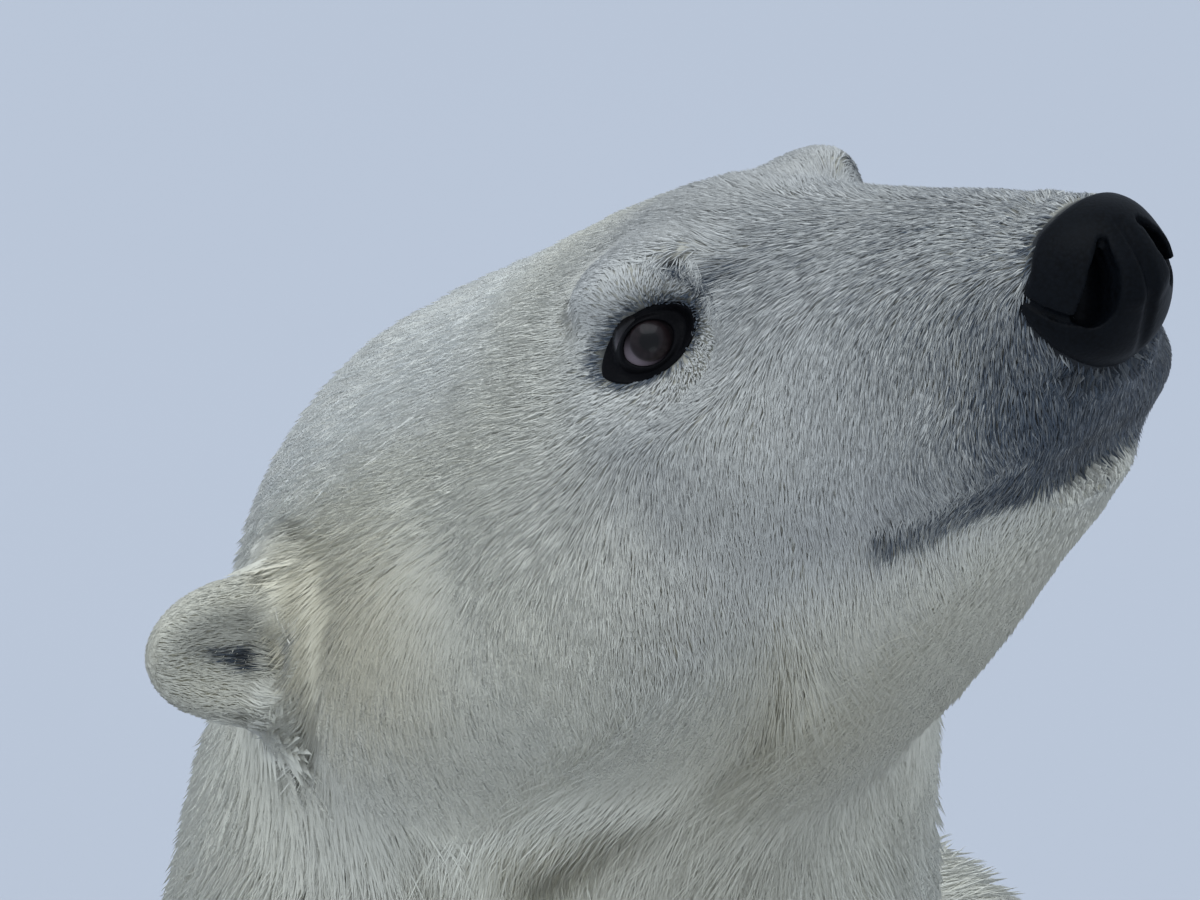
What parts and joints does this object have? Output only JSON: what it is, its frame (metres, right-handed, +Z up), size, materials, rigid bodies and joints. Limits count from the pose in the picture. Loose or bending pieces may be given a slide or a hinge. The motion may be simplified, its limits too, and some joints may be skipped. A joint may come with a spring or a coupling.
{
  "type": "polar bear, sitting, life-size still model",
  "caption": "Sitting polar bear with its head raised, a still life-size museum-like model that rests on its paws and rump.",
  "frame": {"origin": "middle of the bounding box at floor level", "axes": "+Z up, -Y the way the bear faces, +X its left side"},
  "size_m": [0.9056, 1.0476, 1.5142],
  "materials": {
    "coat": "dense matt off-white fur",
    "bare_skin": "bare black pebbled skin",
    "eye": "wet dark brown eyeball",
    "claw": "worn dark horn"
  },
  "bodies": {
    "root": {"head": "coat", "lower_jaw": "coat", "nose": "bare_skin", "eye_left": "eye", "eye_right": "eye", "ear_left": "coat", "ear_right": "coat", "neck": "coat", "chest": "coat", "abdomen": "coat", "rump": "coat", "tail": "coat", "forepaw_left": "coat", "forepaw_right": "coat", "forearm_left": "coat", "forearm_right": "coat", "upper_foreleg_left": "coat", "upper_foreleg_right": "coat", "hind_foot_left": "coat", "hind_foot_right": "coat", "shank_left": "coat", "shank_right": "coat", "thigh_left": "coat", "thigh_right": "coat", "claw_fore_1_left": "claw", "claw_fore_1_right": "claw", "claw_fore_2_left": "claw", "claw_fore_2_right": "claw", "claw_fore_3_left": "claw", "claw_fore_3_right": "claw", "claw_fore_4_left": "claw", "claw_fore_4_right": "claw", "claw_fore_5_left": "claw", "claw_fore_5_right": "claw", "claw_hind_1_left": "claw", "claw_hind_1_right": "claw", "claw_hind_2_left": "claw", "claw_hind_2_right": "claw", "claw_hind_3_left": "claw", "claw_hind_3_right": "claw", "claw_hind_4_left": "claw", "claw_hind_4_right": "claw", "claw_hind_5_left": "claw", "claw_hind_5_right": "claw"}
  },
  "joints": []
}
